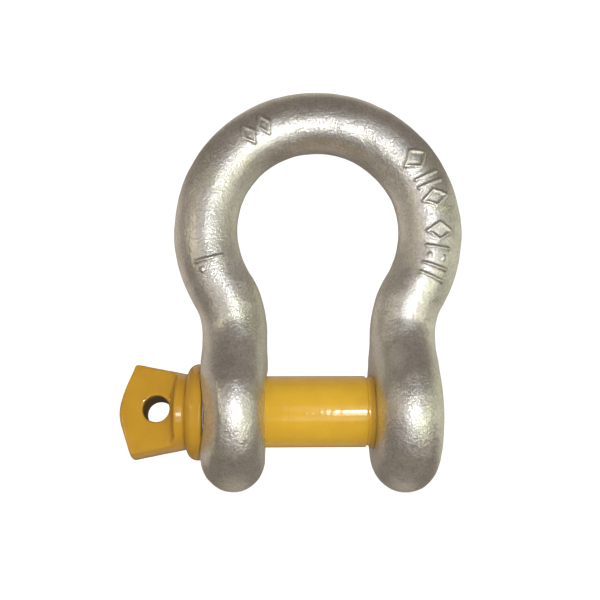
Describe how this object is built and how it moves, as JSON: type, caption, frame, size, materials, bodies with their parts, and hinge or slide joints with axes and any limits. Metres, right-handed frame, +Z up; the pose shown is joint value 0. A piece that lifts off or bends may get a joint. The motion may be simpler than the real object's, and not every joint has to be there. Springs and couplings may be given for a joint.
{
  "type": "bow shackle",
  "caption": "Screw-pin bow shackle: a forged rounded bow with two disc ears, closed by a round pin that screws into one ear.",
  "frame": {"origin": "on the pin's axis, at the middle of the jaw between the two ears", "axes": "+X along the pin from its head to its threaded end, +Z up from the pin to the bow's crown, +Y across the bow, away from the front"},
  "size_m": [0.1212, 0.0556, 0.1425],
  "materials": {
    "galvanised_steel": "hot-dip galvanised, satin, faintly mottled",
    "yellow_paint": "golden yellow gloss enamel over steel",
    "thread_steel": "cut thread, zinc plated, lightly oiled"
  },
  "bodies": {
    "bow": {"bow": "galvanised_steel"},
    "pin": {"pin_shank": "yellow_paint"},
    "pin_turning": {"pin_head": "yellow_paint", "pin_thread": "thread_steel"}
  },
  "joints": [
    {"name": "pin_travel", "type": "slide", "parent": "bow", "child": "pin", "axis": [-1, 0, 0], "range_m": [0, 0.084]},
    {"name": "pin_turn", "type": "hinge", "parent": "pin", "child": "pin_turning", "pos_m": [0, 0, 0], "axis": [-1, 0, 0], "range_deg": [0, 10080]}
  ],
  "couplings": [
    {"joint": "pin_turn", "follows": "pin_travel", "rad_per_m": 2094.4}
  ]
}
